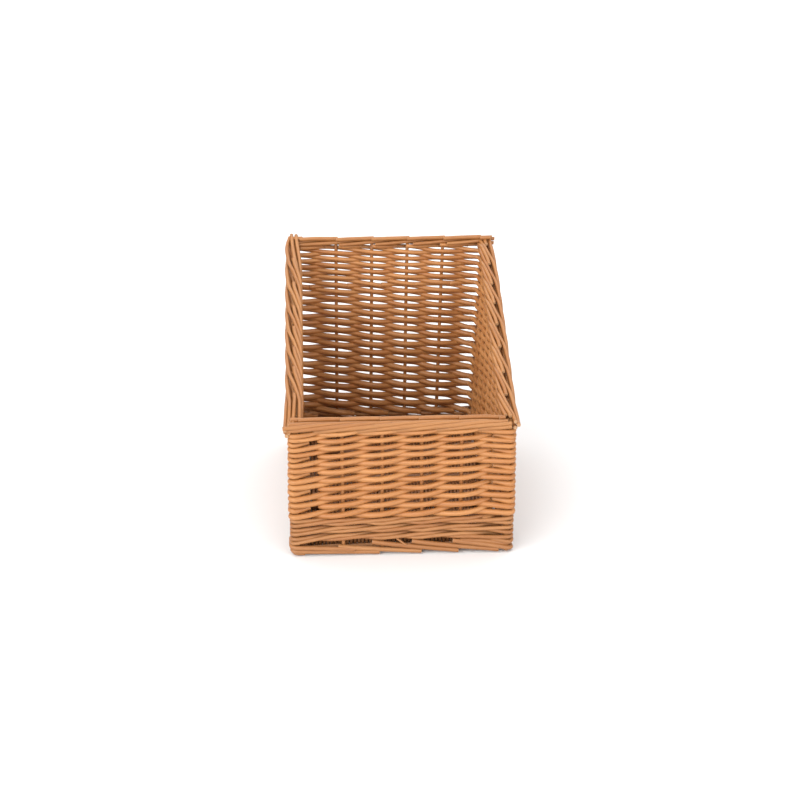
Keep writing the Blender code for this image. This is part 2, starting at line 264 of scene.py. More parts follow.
class BasketColours(bpy.types.PropertyGroup):
    """Willow colours, from the bands that hold them, and the ground."""

    weave: colour("Weave", "Wall rods", (0.445, 0.185, 0.054))
    # Darker than the wall rods: painted shade for the band and the foot, which lie low by the
    # ground
    band: colour("Band", "Rods of the band above the base and of the foot",
                 (0.345, 0.143, 0.044))
    # Darker than the wall rods: painted shade that takes off some of the light falling on the tops
    border: colour("Border", "Rods along the top", (0.358, 0.147, 0.042))
    upright: colour("Upright", "Posts and stakes", (0.400, 0.165, 0.052))
    base: colour("Base", "Rods and sticks of the base", (0.260, 0.110, 0.038))
    deep: colour("Deep", "Dark streaks and scars in the willow", (0.150, 0.050, 0.015))
    pith: colour("Pith", "Cut rod ends", (0.450, 0.270, 0.140))
    floor: colour("Floor", "Ground round the basket", (0.790, 0.790, 0.790))
    streaks: share("Streaks", "How strongly the grain shows", 0.5)


def settings(context):
    """The sizes and colours kept with the scene."""
    return context.scene.basket_sizes, context.scene.basket_colours


def settled(points):
    """Points of the straight basket moved to where they lie in the real one, which has leant over.

    Across, a point moves by a sum of a constant, its place across and the square of that. The
    move grows from nought at the front to the full one at the back, and from nought at the
    border to the full one on the ground.
    """
    across, deep, height = np.asarray(points, float).T
    place = across / CORNER_PLACES[1, 0]
    depth = np.clip((deep - CORNER_PLACES[0, 1]) / WALL_LENGTHS[1], 0, 1)
    border = FRONT_TOP + (BACK_TOP - FRONT_TOP) * depth
    move = LEANS[0] + LEANS[1] * place + LEANS[2] * place ** 2
    low = np.clip(1 - height / border, 0, 1)
    return np.column_stack((across - move * depth * low, deep, height))


def round_basket(distance, outward, height):
    """Points at a distance round the walls, an offset outward from their middle and a height.

    In plan the path is a rectangle with round corners. Along a wall the point runs straight, and
    near a corner it turns on a circle whose radius is the offset, or a small bend inside the
    walls, so that the distance passes smoothly from one wall to the next.
    """
    along = np.mod(distance, PERIMETER)
    wall = np.searchsorted(WALL_STARTS, along, side="right") - 1
    place = along - WALL_STARTS[wall]
    length = WALL_LENGTHS[wall]
    bend = np.maximum(outward, INSIDE_BEND)
    half = bend * math.pi / 4
    inset = bend - outward
    run = inset + (place - half) / (length - 2 * half) * (length - 2 * inset)
    straight = (CORNER_PLACES[wall] + ALONG[wall] * run[:, None]
                + OUTWARD[wall] * outward[:, None])
    at_start = place < half
    at_end = place > length - half
    corner = np.where(at_end, wall + 1, wall) % len(WALLS)
    past = np.where(at_start, place + half, place - length + half)
    angle = past / (2 * half) * math.pi / 2
    before, after = OUTWARD[(corner - 1) % len(WALLS)], OUTWARD[corner]
    centre = CORNER_PLACES[corner] - inset[:, None] * (before + after)
    turned = centre + bend[:, None] * (before * np.cos(angle)[:, None]
                                       + after * np.sin(angle)[:, None])
    plan = np.where((at_start | at_end)[:, None], turned, straight)
    return settled(np.column_stack((plan, height)))


def along_wall(wall, run, outward, height):
    """Points on a straight wall: a run from its left post, an offset outward and a height."""
    plan = CORNER_PLACES[wall] + np.outer(run, ALONG[wall]) + np.outer(outward, OUTWARD[wall])
    return np.column_stack((plan, height))


def rim_top(wall, run):
    """Height of the top of the border: level in front and behind, a straight slope between."""
    rise = BACK_TOP - FRONT_TOP
    starts = (FRONT_TOP, FRONT_TOP, BACK_TOP, BACK_TOP)
    slopes = (0.0, rise / WALL_LENGTHS[1], 0.0, -rise / WALL_LENGTHS[3])
    return starts[wall] + slopes[wall] * run


def swing(shares):
    """A half wave: 0 at 0, 1 at 1, level at both ends."""
    return 0.5 - 0.5 * np.cos(math.pi * shares)


class Bundle:
    """Rods gathered into one mesh. Each is a closed tube with its own shade and grain."""

    def __init__(self, seed, sides):
        self.random = np.random.default_rng(seed)
        self.sides = sides
        self.parts = []
        self.total = 0

    def add(self, path, radius, across=UP):
        """A tube: circles of the rod's radius, square to the path, one at each of its points.

        A circle's first axis is square to the path and to the given direction, and its second
        is square to both. At each end a smaller circle and a middle point make a cut end.
        """
        path = np.asarray(path, float)
        radius = np.broadcast_to(radius, (len(path),)).astype(float)
        tangent = np.gradient(path, axis=0)
        tangent /= np.linalg.norm(tangent, axis=1)[:, None]
        cap = 0.16 * radius[[0, -1]]
        path = np.vstack((path[0] - tangent[0] * cap[0], path, path[-1] + tangent[-1] * cap[1]))
        radius = np.concatenate((radius[:1] * 0.84, radius, radius[-1:] * 0.84))
        tangent = np.vstack((tangent[:1], tangent, tangent[-1:]))
        first = np.cross(np.broadcast_to(across, tangent.shape), tangent)
        first /= np.linalg.norm(first, axis=1)[:, None]
        second = np.cross(tangent, first)
        angle = 2 * math.pi * np.arange(self.sides) / self.sides
        cosine, sine = np.cos(angle), np.sin(angle)
        rings = (path[:, None] + radius[:, None, None]
                 * (first[:, None] * cosine[None, :, None] + second[:, None] * sine[None, :, None]))
        travelled = np.concatenate(((0.0,), np.cumsum(np.linalg.norm(np.diff(path, axis=0),
                                                                     axis=1))))
        shift = self.random.random(3)
        grain = np.stack(np.broadcast_arrays(travelled[:, None] + shift[0],
                                             radius[:, None] * cosine + shift[1],
                                             radius[:, None] * sine + shift[2]), axis=2)
        ends = path[[0, -1]]
        count = len(path) * self.sides
        vertices = np.vstack((rings.reshape(-1, 3), ends))
        grain = np.vstack((grain.reshape(-1, 3), shift + np.array([[0, 0, 0], [0.1, 0, 0]])))
        cut = np.zeros(count + 2)
        cut[:self.sides] = 1
        cut[count - self.sides:] = 1
        number = np.arange(count).reshape(len(path), self.sides)
        turned = np.roll(number, -1, axis=1)
        quads = np.stack((number[:-1], turned[:-1], turned[1:], number[1:]), axis=2)
        middle = np.full(self.sides, count)
        start = np.stack((middle, turned[0], number[0]), axis=1)
        finish = np.stack((middle + 1, number[-1], turned[-1]), axis=1)
        self.parts.append((vertices, quads.reshape(-1, 4) + self.total,
                           np.vstack((start, finish)) + self.total, grain, cut,
                           np.full(count + 2, self.random.random())))
        self.total += count + 2

    def build(self, name, material, slot, nodes):
        """Puts the gathered rods into a mesh and lets it stand for its plain nodes."""
        vertices, quads, triangles, grain, cut, tone = (list(x) for x in zip(*self.parts))
        quads, triangles = np.vstack(quads), np.vstack(triangles)
        mesh = bpy.data.meshes.new(name)
        mesh.from_pydata(np.vstack(vertices), [], quads.tolist() + triangles.tolist())
        smooth = np.concatenate((np.ones(len(quads), bool), np.zeros(len(triangles), bool)))
        mesh.polygons.foreach_set("use_smooth", smooth)
        for label, kind, field, values in (("grain", "FLOAT_VECTOR", "vector", np.vstack(grain)),
                                           ("cut", "FLOAT", "value", np.concatenate(cut)),
                                           ("tone", "FLOAT", "value", np.concatenate(tone))):
            attribute = mesh.attributes.new(label, kind, "POINT")
            attribute.data.foreach_set(field, values.astype(np.float32).ravel())
        mesh.materials.append(material)
        mesh.update()
        piece = bpy.data.objects.new(name, mesh)
        bpy.context.scene.collection.objects.link(piece)
        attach(piece, "root")
        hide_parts(*nodes)
        return piece


def link(tree, source, target):
    """Joins two sockets of a node tree."""
    tree.links.new(source, target)


def add_attribute(tree, name):
    """Reads one of the attributes that each rod carries."""
    attribute = tree.nodes.new("ShaderNodeAttribute")
    attribute.attribute_name = name
    return attribute.outputs


def add_noise(tree, source, detail, stretch):
    """A noise over the rod's own grain, drawn out by the three shares of stretch."""
    mapping = tree.nodes.new("ShaderNodeMapping")
    mapping.inputs["Scale"].default_value = stretch
    noise = tree.nodes.new("ShaderNodeTexNoise")
    noise.inputs["Scale"].default_value = 1.0
    noise.inputs["Detail"].default_value = detail
    link(tree, source, mapping.inputs["Vector"])
    link(tree, mapping.outputs["Vector"], noise.inputs["Vector"])
    return noise.outputs["Fac"]


def add_ramp(tree, source, low, high, least, most):
    """Turns a value into least on one side of low, and most on the other side of high."""
    spread = tree.nodes.new("ShaderNodeMapRange")
    for name, value in (("From Min", low), ("From Max", high), ("To Min", least),
                        ("To Max", most)):
        spread.inputs[name].default_value = value
    link(tree, source, spread.inputs["Value"])
    return spread.outputs["Result"]


def add_mix(tree, amount, first, second):
    """Mixes two colours by an amount. Each of the three is a socket or a fixed value."""
    mix = tree.nodes.new("ShaderNodeMix")
    mix.data_type = "RGBA"
    for name, value in (("Factor", amount), ("A", first), ("B", second)):
        if isinstance(value, bpy.types.NodeSocket):
            link(tree, value, mix.inputs[name])
        elif name == "Factor":
            mix.inputs[name].default_value = value
        else:
            mix.inputs[name].default_value = (*value, 1.0)
    return mix.outputs["Result"]


def tinted(base, factors):
    """A colour with each of its channels scaled, kept below one."""
    return tuple(min(value * factor, 1.0) for value, factor in zip(base, factors))


def willow(name, base, colours):
    """Peeled and stained willow, from the grain, tone and cut attributes of the rods.

    Half of a rod's shade is its own. Over it lie light and dark patches, fine streaks and scars,
    each where a noise that is drawn out along the rod passes a bound, and then the pale cut ends.
    """
    material = bpy.data.materials.new(name)
    material.use_nodes = True
    tree = material.node_tree
    shader = tree.nodes["Principled BSDF"]
    grain = add_attribute(tree, "grain")["Vector"]
    tone = add_attribute(tree, "tone")["Fac"]
    cut = add_attribute(tree, "cut")["Fac"]
    light = tinted(base, (1.18, 1.30, 1.50))
    dark = tinted(base, (0.82, 0.70, 0.58))
    patches = add_noise(tree, grain, 3.0, (22.0, 130.0, 130.0))
    streaks = add_noise(tree, grain, 4.0, (60.0, 1500.0, 1500.0))
    scars = add_noise(tree, grain, 2.0, (170.0, 420.0, 420.0))
    shade = add_mix(tree, 0.5, base, add_mix(tree, tone, dark, light))
    for source, low, high, most, over in ((patches, 0.50, 0.72, 0.45, light),
                                          (patches, 0.48, 0.26, 0.40, dark),
                                          (streaks, 0.50, 0.80, colours.streaks, colours.deep),
                                          (scars, 0.70, 0.78, 0.6, colours.deep),
                                          (cut, 0.0, 1.0, 0.75, colours.pith)):
        shade = add_mix(tree, add_ramp(tree, source, low, high, 0.0, most), shade, over)
    link(tree, shade, shader.inputs["Base Color"])
    link(tree, add_ramp(tree, patches, 0.0, 1.0, 0.34, 0.56), shader.inputs["Roughness"])
    shader.inputs["Specular IOR Level"].default_value = 0.5
    bump = tree.nodes.new("ShaderNodeBump")
    bump.inputs["Strength"].default_value = 0.35
    bump.inputs["Distance"].default_value = 0.0004
    link(tree, streaks, bump.inputs["Height"])
    link(tree, bump.outputs["Normal"], shader.inputs["Normal"])
    return material


def spread_steps(count, corners, per_step):
    """Even steps from 0 to count, with closer ones on both sides of each corner."""
    even = np.linspace(0, count, int(round(count * per_step)) + 1)
    close = np.array((-0.15, -0.11, -0.075, -0.045, -0.02, 0.0, 0.02, 0.045, 0.075, 0.11, 0.15))
    near = (np.reshape(corners, (-1, 1)) + close).ravel()
    steps = np.unique(np.round(np.concatenate((even, near)), 4))
    return steps[(steps >= 0) & (steps <= count)]


def woven_path(steps, distances, offsets, heights, bulges, waver, random):
    """A rod through its crossings: from one to the next, the offset swings over on a half wave,
    while the distance round the basket and the height change evenly, all with a slight waver.
    A bulge raises the rod by half a wave between two crossings."""
    index = np.minimum(steps.astype(int), len(distances) - 2)
    part = steps - index
    distance = distances[index] + (distances[index + 1] - distances[index]) * part
    offset = offsets[index] + (offsets[index + 1] - offsets[index]) * swing(part)
    height = heights[index] + (heights[index + 1] - heights[index]) * part
    height = height + bulges[index] * np.sin(math.pi * part ** 0.75)
    phase = random.random(2) * 2 * math.pi
    circled = distance * 2 * math.pi
    offset = offset + waver * OUTWARD_WAVER_SHARE * np.sin(circled / OUTWARD_WAVE + phase[0])
    height = height + waver * np.sin(circled / UPWARD_WAVE + phase[1])
    return distance, offset, height


def distance_of(upright):
    """Distance round the basket to an upright, counted on past the first round."""
    return DISTANCES[upright % COUNT] + PERIMETER * (upright // COUNT)


class LowerWeave:
    """Where the rods of the walls cross the uprights, below the join at the back.

    Each rod passes outside one upright and inside the next, and rises a level at each. A level's
    height is a start, plus its number times the rise, less its number squared times the easing,
    blended from the front to the back, plus the shift at a post, the lift at the back and a
    slight stray.
    """

    def __init__(self, sizes, random):
        self.sizes = sizes
        self.count = sizes.lower_levels
        self.strays = random.normal(0, STRAY, (COUNT, self.count + 2))

    def radius(self, upright, level):
        """Half the thickness: it lessens evenly upward, with an extra that grows to the back."""
        low, high = self.sizes.wall_rod_low / 2, self.sizes.wall_rod_high / 2
        extra = self.sizes.back_extra / 2 * DEPTH_SHARES[upright % COUNT]
        thinned = level / THINNING_LEVELS
        return low + (high - low) * thinned + extra * (1.5 - thinned / 2)

    def pitch(self, upright, level):
        """Rise from a level to the next: the slope of the height's formula."""
        sizes, depth = self.sizes, DEPTH_SHARES[upright % COUNT]
        front = sizes.front_rise - 2 * sizes.front_easing * level
        back = sizes.back_rise - 2 * sizes.back_easing * level
        return front + (back - front) * depth

    def stray(self, upright, level):
        """How far one crossing strays up or down."""
        return self.strays[upright % COUNT, min(level, self.count)]

    def plain_height(self, upright, level):
        """Height of a crossing before the lift at the back."""
        sizes, depth = self.sizes, DEPTH_SHARES[upright % COUNT]
        front = sizes.front_rise * level - sizes.front_easing * level ** 2
        back = sizes.back_rise * level - sizes.back_easing * level ** 2
        even = sizes.first_level + front + (back - front) * depth
        shift = self.shift(upright, level) * self.pitch(upright, level)
        return even + shift + self.stray(upright, level)

    def height(self, upright, level):
        """Height of a crossing."""
        return self.plain_height(upright, level) + self.lift(upright, level)

    def lift(self, upright, level):
        """How much higher a rod lies where it passes inside an upright of the back."""
        place = upright % COUNT - CORNERS[2]
        if not 0 <= place < len(BACK_LIFTS) or self.side(upright, level) > 0:
            return 0.0
        return BACK_LIFTS[place] * self.pitch(upright, level) / LIFT_RISE

    def shift(self, upright, level):
        """How much higher than even a rod passes a post, in rises."""
        place = upright % COUNT
        if place not in CORNERS or (place, level) == (CORNERS[1], 0):
            return 0.0
        return POST_SHIFTS[CORNERS.index(place)][level % 4]

    def looped(self, upright, level):
        """Rods that turn round the outside of a front post and end close by on the front."""
        if upright % COUNT == CORNERS[0]:
            return level % 4 == 2
        return upright % COUNT == CORNERS[1] and level % 4 == 0 and level >= 4

    def side(self, upright, level):
        """1 where a rod passes outside an upright, and -1 inside."""
        return 1 if level % 2 == 1 or self.looped(upright, level) else -1

    def holds(self, upright, level):
        """Whether the crossing lies below the border."""
        if not 0 <= level < self.count:
            return False
        return self.height(upright, level) + self.radius(upright, level) <= LIMITS[upright % COUNT]

    def breaks_after(self, upright, level):
        """Whether a rod that has turned the left front post ends there."""
        return upright % COUNT == CORNERS[0] and self.looped(upright, level)

    def breaks_before(self, upright, level):
        """Whether a rod that turns the right front post starts there."""
        return upright % COUNT == CORNERS[1] and self.looped(upright, level)


class UpperWeave(LowerWeave):
    """The rods above the join, which start anew on the level where the lower ones stop.

    A level's height is that of the last lower one, plus its number and a bit more times the rise.
    """

    def __init__(self, sizes, random, lower):
        super().__init__(sizes, random)
        self.lower = lower
        self.count = UPPER_LEVELS
        self.strays = random.normal(0, STRAY, (COUNT, self.count + 2))

    def radius(self, upright, level):
        return self.sizes.upper_rod / 2 * (1 - UPPER_THINNING_SHARE * level)

    def pitch(self, upright, level):
        return self.sizes.upper_rise

    def plain_height(self, upright, level):
        last = self.lower.plain_height(upright, self.lower.count - 1)
        return last + self.sizes.upper_rise * (level + JOIN_RISES) + self.stray(upright, level)

    def looped(self, upright, level):
        return False


def chains(weave):
    """Each rod's crossings in order: upright and level, both one higher each time."""

    def goes_on(upright, level):
        """Whether a rod runs on from this crossing to the next."""
        return (weave.holds(upright, level) and weave.holds(upright + 1, level + 1)
                and not weave.breaks_after(upright, level)
                and not weave.breaks_before(upright + 1, level + 1))

    found = []
    for upright in range(COUNT):
        for level in range(weave.count):
            if not weave.holds(upright, level) or goes_on(upright - 1, level - 1):
                continue
            chain = [(upright, level)]
            while goes_on(*chain[-1]):
                chain.append((chain[-1][0] + 1, chain[-1][1] + 1))
            found.append(chain)
    return found


def crossing(weave, upright, level):
    """Where a rod crosses an upright: the distance round the basket, the offset outward, which is
    both radii together on the rod's side, and the height."""
    room = UPRIGHT_RADII[upright % COUNT] - PRESS + weave.radius(upright, level)
    return distance_of(upright), weave.side(upright, level) * room, weave.height(upright, level)


def beyond(weave, upright, level, step):
    """The same for the upright one step before or after a rod's last crossing, which the rod
    would pass on its other side."""
    room = UPRIGHT_RADII[(upright + step) % COUNT] + weave.radius(upright, level)
    return (distance_of(upright + step), -weave.side(upright, level) * room,
            weave.height(upright + step, level + step))


def rod_start(weave, upright, level):
    """The point before a rod's first crossing, and the share of the bay between that is cut off.

    A rod of the first level comes up half way from the upright before, and one that turns the
    right front post starts beside it. Any other starts at the upright before, or short of it
    where another rod has turned the left front post.
    """
    distance, _, height = crossing(weave, upright, level)
    if level == 0:
        return ((distance + distance_of(upright - 1)) / 2, 0.0, height - BAND_DEPTH), 0.0
    if weave.breaks_before(upright, level):
        return (distance + RIGHT_LOOP[0], RIGHT_LOOP[1], height + RIGHT_LOOP[2]), 0.0
    cut = START_CUT_SHARE if weave.breaks_after(upright - 1, level - 1) else 0.0
    return beyond(weave, upright, level, -1), cut


def rod_finish(weave, upright, level):
    """The point after a rod's last crossing, and the share of the bay between that is cut off,
    in the same way."""
    if weave.breaks_after(upright, level):
        distance, _, height = crossing(weave, upright, level)
        return (distance + LEFT_LOOP[0], LEFT_LOOP[1], height + LEFT_LOOP[2]), 0.0
    short = weave.breaks_before(upright + 1, level + 1) or level + 1 >= weave.count
    return beyond(weave, upright, level, 1), FINISH_CUT_SHARE if short else 0.0


def limit_at(distance):
    """Height of the underside of the border at a distance round the basket."""
    return np.interp(np.mod(distance, PERIMETER), np.append(DISTANCES, PERIMETER),
                     np.append(LIMITS, LIMITS[0]))


def tucked_in(path, radius, random):
    """Ends a rod that runs into the border.

    Above the border's underside it leans in towards the middle of the wall, and it is cut where
    it has gone in by most of the border's depth.
    """
    distance, offset, height = path
    above = height + radius - limit_at(distance)
    lean = swing(np.clip(above / TUCK_DEPTH, 0, 1))
    offset = offset * (1 - np.where(offset > 0, TUCK_OUTSIDE_SHARE, TUCK_INSIDE_SHARE) * lean)
    kept = above < TUCK_DEPTH + random.uniform(-TUCK_SPREAD, TUCK_SPREAD)
    return (distance[kept], offset[kept], height[kept]), radius[kept]


def corner_bulge(cell, sizes, weave):
    """Rods that come out beside the last front stake rise at once, and then run level to the
    right post. Those that go in beside the first one sag a little on the way from the left."""
    upright = cell[0] % COUNT
    if upright == CORNERS[1] - 1 and weave.side(*cell) < 0:
        return sizes.right_bulge
    if upright == CORNERS[0] and weave.side(*cell) > 0:
        return -sizes.left_sag
    return 0.0


def chain_rod(weave, chain, sizes, random):
    """Path and radius of one wall rod, through its crossings and the points beyond both ends."""
    start, start_cut = rod_start(weave, *chain[0])
    finish, finish_cut = rod_finish(weave, *chain[-1])
    stops = np.array([start, *(crossing(weave, *cell) for cell in chain), finish])
    radii = [weave.radius(*cell) for cell in (chain[0], *chain, chain[-1])]
    bulges = np.array([0.0, *(corner_bulge(cell, sizes, weave) for cell in chain)])
    corners = [place + 1 for place, (upright, _) in enumerate(chain)
               if upright % COUNT in CORNERS]
    steps = spread_steps(len(stops) - 1, corners, 11)
    steps = steps[(steps >= start_cut) & (steps <= len(stops) - 1 - finish_cut)]
    path = woven_path(steps, *stops.T, bulges, sizes.waver, random)
    radius = np.interp(steps, np.arange(len(radii)), radii)
    radius = radius * (1 + random.normal(0, WALL_SPREAD_SHARE))
    (distance, offset, height), radius = tucked_in(path, radius, random)
    from_middle = np.abs(np.mod(distance, PERIMETER) - WALL_STARTS[2] - WALL_LENGTHS[2] / 2)
    behind = from_middle < WALL_LENGTHS[2] / 2 + BACK_MARGIN
    limit = np.where(behind, BACK_REACH, np.inf)
    return round_basket(distance, np.minimum(offset, limit - radius), height), radius


def weave_walls(sizes, colours):
    """The four woven walls. A rod counts to the wall where its middle lies."""
    random = np.random.default_rng(RANDOM_SEED)
    bundles = [Bundle(RANDOM_SEED + wall, sizes.sides) for wall in range(len(WALLS))]
    lower = LowerWeave(sizes, random)
    for weave in (lower, UpperWeave(sizes, random, lower)):
        for chain in chains(weave):
            path, radius = chain_rod(weave, chain, sizes, random)
            if len(path) < 4:
                continue
            middle = DISTANCES[chain[len(chain) // 2][0] % COUNT]
            wall = int(np.searchsorted(WALL_STARTS, middle, side="right")) - 1
            bundles[wall].add(path, radius)
    material = willow("wall_willow", colours.weave, colours)
    for wall, bundle in zip(WALLS, bundles):
        bundle.build(f"{wall}_wall_rods", material, "willow_weave", [f"{wall}_weave"])


def drooped(distance, above, sizes):
    """How far the band hangs down near the two front corners: fully at a corner and in its lowest
    rod, and less in a straight line with the distance from the corner and with the height. On the
    right it hangs down more."""
    place = np.mod(distance[:, None] - DISTANCES[CORNERS[:2]] + PERIMETER / 2, PERIMETER)
    near = np.clip(1 - np.abs(place - PERIMETER / 2) / DROOP_LENGTH, 0, 1)
    amount = sizes.band_droop * (near[:, 0] + RIGHT_DROOP_SHARE * near[:, 1])
    return amount * (1 - above / (WALE_HIGH - WALE_LOW))


def weave_wale(sizes, colours):
    """The band above the base: three rods together, each outside two uprights and inside one.

    A rod comes out low, rises by its own height while it is outside, and goes in high. Three
    rounds lie on each other, and the rods step up from round to round at the back left post.
    """
    random = np.random.default_rng(RANDOM_SEED + 20)
    bundle = Bundle(RANDOM_SEED + 20, sizes.sides)
    rounds, rods = 3, 3
    slot = (WALE_HIGH - WALE_LOW) / (2 * rounds)
    radius = sizes.wale_rod / 2
    for rod in range(rods):
        crossing = np.arange(COUNT * rounds + 1)
        upright = crossing + CORNERS[3]
        phase = (crossing + rod) % rods
        distances = np.array([distance_of(place) for place in upright])
        room = UPRIGHT_RADII[upright % COUNT] + radius - PRESS
        offsets = np.where(phase == 0, -room, room)
        level = 2 * slot * (crossing // COUNT)
        marks, slots = [], []
        for place, kind, base in zip(crossing, phase, level):
            if kind == 0:
                marks += [place - BAND_PASS_SHARE, place + BAND_PASS_SHARE]
                slots += [base + BAND_IN_SHARE * slot, base + BAND_OUT_SHARE * slot]
            else:
                marks.append(place)
                slots.append(base + (BAND_FIRST_SHARE if kind == 1 else BAND_SECOND_SHARE) * slot)
        corners = crossing[np.isin(upright % COUNT, CORNERS)]
        steps = spread_steps(len(crossing) - 1, corners, 10)
        none = np.zeros(len(distances))
        distance, offset, waver = woven_path(steps, distances, offsets, none, none, sizes.waver,
                                             random)
        above = np.interp(steps, marks, slots)
        height = WALE_LOW + above - drooped(distance, above, sizes) + waver
        bundle.add(round_basket(distance, offset, height), radius)
    # The band's colour carries painted shade, darker than the wall rods
    bundle.build("band_rods", willow("band_willow_painted_shade", colours.band, colours), "willow_weave",
                 [f"{wall}_wale" for wall in WALLS])


def build_foot(sizes, colours):
    """The border on the ground. Outside, a rod starts high beside each upright and slopes down to
    the ground two uprights on. Inside, as many rods lie lower and slope the other way.

    The rods that turn a front corner follow straight lines between their own points instead.
    """
    random = np.random.default_rng(RANDOM_SEED + 30)
    bundle = Bundle(RANDOM_SEED + 30, sizes.sides)
    radius = sizes.foot_rod / 2
    low = radius + FOOT_LIFT
    shares = np.linspace(0, 1, 40)
    thinned = 1 - FOOT_THINNING_SHARE
    for upright in range(COUNT):
        room = UPRIGHT_RADII[upright] + radius
        run = np.linspace(INNER_FOOT_START, INNER_FOOT_END, len(shares))
        bundle.add(round_basket(DISTANCES[upright] + run, np.full(len(run), -room - PRESS),
                                low + (INNER_FOOT_HIGH - low) * shares), radius)
        if upright in CORNER_FEET:
            corner, places, heights, inset = CORNER_FEET[upright]
            run = np.linspace(places[0], places[-1], 60)
            outward = room - np.interp(run, FOOT_TURN, (inset, FOOT_END_INSET))
            bundle.add(round_basket(corner + run, outward, np.interp(run, places, heights)),
                       radius * np.linspace(1, thinned, len(run)))
            continue
        start, end, high = FOOT_START, FOOT_END, FOOT_HIGH + random.normal(0, FOOT_SPREAD)
        if upright == 1:
            start, end, high = FIRST_FOOT_START, FIRST_FOOT_END, FIRST_FOOT_HIGH
        outward = room - FOOT_END_INSET * shares - FOOT_START_INSET * (1 - shares) ** 6
        height = high + (low - high) * shares ** 0.9
        bundle.add(round_basket(DISTANCES[upright] + start + (end - start) * shares, outward,
                                height), radius * np.linspace(1, thinned, len(shares)))
    bundle.add(round_basket(*np.linspace(*THIN_END, len(shares)).T), THIN_END_RADIUS)
    # The foot's colour carries painted shade, darker than the wall rods
    bundle.build("foot_rods", willow("foot_willow_painted_shade", colours.band, colours), "willow_border",
                 [f"{wall}_foot" for wall in WALLS])


def weaver_pass(order, side, number, across, pitch, rise):
    """One pass of the base's weaver over the sticks in their order, and the turn to the next.

    From stick to stick the height swings on a half wave between the rise and as much below the
    sticks' middle, with a slight sway across. The turn goes round the last stick on a half
    circle, and moves evenly across by the pitch.
    """
    steps = np.linspace(0, len(order) - 1, 8 * (len(order) - 1) + 1)
    index = np.minimum(steps.astype(int), len(order) - 2)
    part = steps - index
    along = order[index] + (order[index + 1] - order[index]) * part
    sides = side * (-1.0) ** np.arange(len(order))
    height = rise * (sides[index] + (sides[index + 1] - sides[index]) * swing(part))
    sway = WEAVER_BEND * np.sin(along * WEAVER_RATE + number)
    turn = np.linspace(0, 1, 10)[1:-1]
    past = order[-1] - side * rise * np.sin(math.pi * turn)
    return (np.column_stack((across + sway, along, height)),
            np.column_stack((across + pitch * turn, past,
                             sides[-1] * rise * np.cos(math.pi * turn))))


def weave_base(sizes, colours):
    """The bottom: sticks from side to side, and one long weaver that goes over and under them
    from back to front, round the last stick, and back beside itself. Ribs are bent down over its
    front and back edges, each half a circle drawn out downward."""
    sticks = sorted(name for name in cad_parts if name.startswith("base_stick_"))
    boxes = [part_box(name) for name in sticks]
    bundle = Bundle(RANDOM_SEED + 40, sizes.sides)
    stick_height = STICK_HEIGHT - sizes.base_ease
    for low, high in boxes:
        place = (low.y + high.y) / 2
        run = np.linspace(low.x + STICK_SPARE, high.x - STICK_SPARE, 40)
        wave = STICK_BEND * np.sin(run * STICK_RATE + place * STICK_SHIFT)
        path = np.column_stack((run, place + wave, np.full(len(run), stick_height)))
        bundle.add(settled(path), STICK_RADIUS)
    places = np.sort([(low.y + high.y) / 2 for low, high in boxes])
    radius = sizes.base_rod / 2
    rise = STICK_RADIUS + radius
    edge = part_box("base_weave")[1].x - radius
    passes = int(2 * edge / sizes.base_pitch) + 1
    pitch = 2 * edge / (passes - 1)
    points = []
    for number in range(passes):
        order, side = (places, -1) if number % 2 else (places[::-1], 1)
        points += weaver_pass(order, side, number, number * pitch - edge, pitch, rise)
    path = settled(np.vstack(points[:-1]) + (0.0, 0.0, stick_height))
    change = WEAVER_SPREAD_SHARE * np.sin(np.arange(len(path)) * WEAVER_SPREAD_RATE)
    bundle.add(path, radius * (1 + change), (1.0, 0.0, 0.0))
    turn = np.linspace(0, math.pi, 12)
    height = stick_height + np.where(turn < math.pi / 2, rise, RIB_DEPTH) * np.cos(turn)
    for number in range(passes - 1):
        across = np.full(len(turn), (number + 0.5) * pitch - edge)
        for end, outward in ((places[0], -1), (places[-1], 1)):
            along = end + outward * RIB_REACH * np.sin(turn)
            bundle.add(settled(np.column_stack((across, along, height))), radius, (1.0, 0.0, 0.0))
    bundle.build("base_rods", willow("base_willow", colours.base, colours), "willow_base",
                 ["base_weave", *sticks])


def build_uprights(sizes, colours):
    """The stakes and corner posts: straight rods with a slight bow of one full wave, a little
    thinner at the top."""
    random = np.random.default_rng(RANDOM_SEED + 50)
    bundle = Bundle(RANDOM_SEED + 50, sizes.sides)
    shares = np.linspace(0, 1, 24)
    for low, high, radius in zip(LOWS, HIGHS, UPRIGHT_RADII):
        bow = random.normal(0, UPRIGHT_BOW, 2)
        plan = (low[:2] + high[:2]) / 2 + np.outer(np.sin(2 * math.pi * shares), bow)
        height = np.linspace(low[2] + UPRIGHT_SPARE, high[2] - UPRIGHT_SPARE, len(shares))
        bundle.add(settled(np.column_stack((plan, height))),
                   (radius - PRESS) * (1 - UPRIGHT_THINNING_SHARE * shares), (0.0, 1.0, 0.0))
    bundle.build("upright_rods", willow("upright_willow", colours.upright, colours),
                 "willow_upright", UPRIGHTS)


